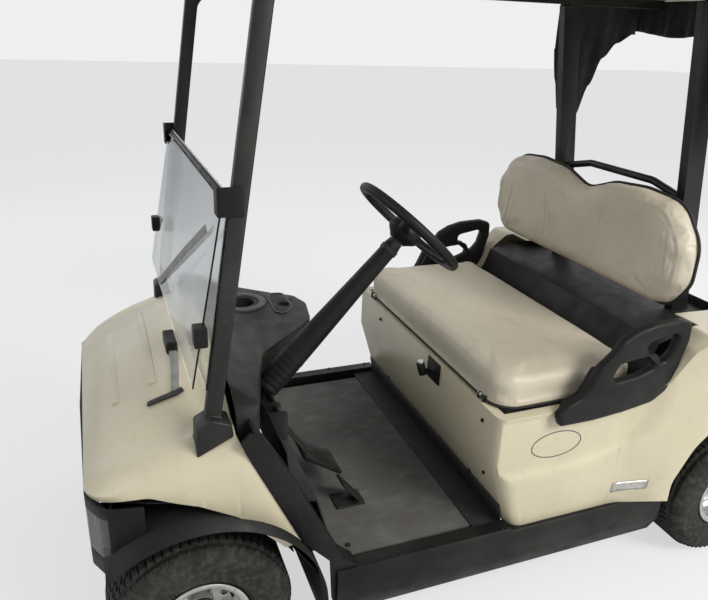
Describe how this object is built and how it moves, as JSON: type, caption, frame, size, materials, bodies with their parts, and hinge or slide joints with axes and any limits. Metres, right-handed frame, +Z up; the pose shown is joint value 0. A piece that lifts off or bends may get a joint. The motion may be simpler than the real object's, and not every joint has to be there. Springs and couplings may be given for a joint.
{
  "type": "golf cart",
  "caption": "Small open two-seat utility cart: roof on posts, fold-down windshield, bench seat with a lifting cushion, rear bag well, steered front wheels.",
  "frame": {"origin": "on the ground, at the middle of the cart's length and width", "axes": "+X to the driver's left, +Y to the rear, +Z up"},
  "size_m": [1.2, 2.35, 1.8267],
  "materials": {
    "acrylic": "clear acrylic sheet",
    "black_plastic": "grained black plastic",
    "body_paint": "beige moulded body, weathered gloss",
    "cover_cloth": "black rain cover cloth",
    "dash_plastic": "grained dark grey plastic",
    "engine_grey": "plain casting",
    "frame_paint": "black painted steel",
    "lamp_lens": "smoked lens",
    "mat_rubber": "worn grey rubber mat",
    "roof_plastic": "stone coloured roof",
    "seat_vinyl": "beige vinyl",
    "spring_steel": "black coil springs",
    "tyre_rubber": "worn black rubber",
    "wheel_silver": "silver painted wheel"
  },
  "bodies": {
    "chassis": {"accelerator_pedal": "frame_paint", "armrest_left": "black_plastic", "armrest_right": "black_plastic", "backrest_cushion": "seat_vinyl", "backrest_shell": "black_plastic", "bag_well": "black_plastic", "brake_pedal": "frame_paint", "crossmembers": "frame_paint", "dashboard": "dash_plastic", "engine_block": "engine_grey", "floor_mat": "mat_rubber", "floor_pan": "dash_plastic", "front_bumper": "black_plastic", "front_cowl": "body_paint", "front_post_left": "frame_paint", "front_post_right": "frame_paint", "front_rails": "frame_paint", "front_suspension": "frame_paint", "headlamp_left": "lamp_lens", "headlamp_right": "lamp_lens", "rain_curtain": "cover_cloth", "rear_axle": "frame_paint", "rear_body": "body_paint", "rear_bumper": "black_plastic", "rear_liner_left": "black_plastic", "rear_liner_right": "black_plastic", "rear_rails": "frame_paint", "rear_roof_frame": "frame_paint", "rear_springs": "spring_steel", "rocker_left": "black_plastic", "rocker_right": "black_plastic", "roof": "roof_plastic", "seat_hinges": "frame_paint", "seat_tray": "black_plastic", "shift_lever": "black_plastic", "steering_column": "frame_paint", "wheel_liner_left": "black_plastic", "wheel_liner_right": "black_plastic", "windshield_hinges": "black_plastic", "windshield_lower": "acrylic", "windshield_upper": "acrylic"},
    "steering_wheel": {"steering_wheel": "black_plastic"},
    "steering_rack": {"steering_rack": "frame_paint"},
    "knuckle_left": {"knuckle_left": "frame_paint"},
    "knuckle_right": {"knuckle_right": "frame_paint"},
    "front_wheel_left": {"front_tyre_left": "tyre_rubber", "front_wheel_left": "wheel_silver"},
    "front_wheel_right": {"front_tyre_right": "tyre_rubber", "front_wheel_right": "wheel_silver"},
    "rear_wheel_left": {"rear_tyre_left": "tyre_rubber", "rear_wheel_left": "wheel_silver"},
    "rear_wheel_right": {"rear_tyre_right": "tyre_rubber", "rear_wheel_right": "wheel_silver"},
    "seat": {"seat_cushion": "seat_vinyl", "seat_base": "black_plastic"}
  },
  "joints": [
    {"name": "steering_turn", "type": "hinge", "parent": "chassis", "child": "steering_wheel", "pos_m": [0.19, -0.275, 1.1], "axis": [0, 0.6839, 0.7295], "range_deg": [-448, 448]},
    {"name": "knuckle_left_turn", "type": "hinge", "parent": "chassis", "child": "knuckle_left", "pos_m": [0.36, -0.925, 0.228], "axis": [0, 0, 1], "range_deg": [-32.1, 32.1]},
    {"name": "knuckle_right_turn", "type": "hinge", "parent": "chassis", "child": "knuckle_right", "pos_m": [-0.36, -0.925, 0.228], "axis": [0, 0, 1], "range_deg": [-32.1, 32.1]},
    {"name": "rack_slide", "type": "slide", "parent": "chassis", "child": "steering_rack", "axis": [-1, 0, 0], "range_m": [-0.0525, 0.0525]},
    {"name": "front_left_spin", "type": "hinge", "parent": "knuckle_left", "child": "front_wheel_left", "pos_m": [0.435, -0.925, 0.228], "axis": [1, 0, 0], "continuous": true},
    {"name": "front_right_spin", "type": "hinge", "parent": "knuckle_right", "child": "front_wheel_right", "pos_m": [-0.435, -0.925, 0.228], "axis": [1, 0, 0], "continuous": true},
    {"name": "rear_left_spin", "type": "hinge", "parent": "chassis", "child": "rear_wheel_left", "pos_m": [0.47, 0.765, 0.228], "axis": [1, 0, 0], "continuous": true},
    {"name": "rear_right_spin", "type": "hinge", "parent": "chassis", "child": "rear_wheel_right", "pos_m": [-0.47, 0.765, 0.228], "axis": [1, 0, 0], "continuous": true},
    {"name": "seat_lift", "type": "hinge", "parent": "chassis", "child": "seat", "pos_m": [0, -0.113, 0.657], "axis": [1, 0, 0], "range_deg": [0, 60]}
  ],
  "couplings": [
    {"joint": "knuckle_left_turn", "follows": "steering_turn", "ratio": 0.071429},
    {"joint": "knuckle_right_turn", "follows": "steering_turn", "ratio": 0.071429},
    {"joint": "rack_slide", "follows": "steering_turn", "m_per_rad": 0.00665}
  ]
}
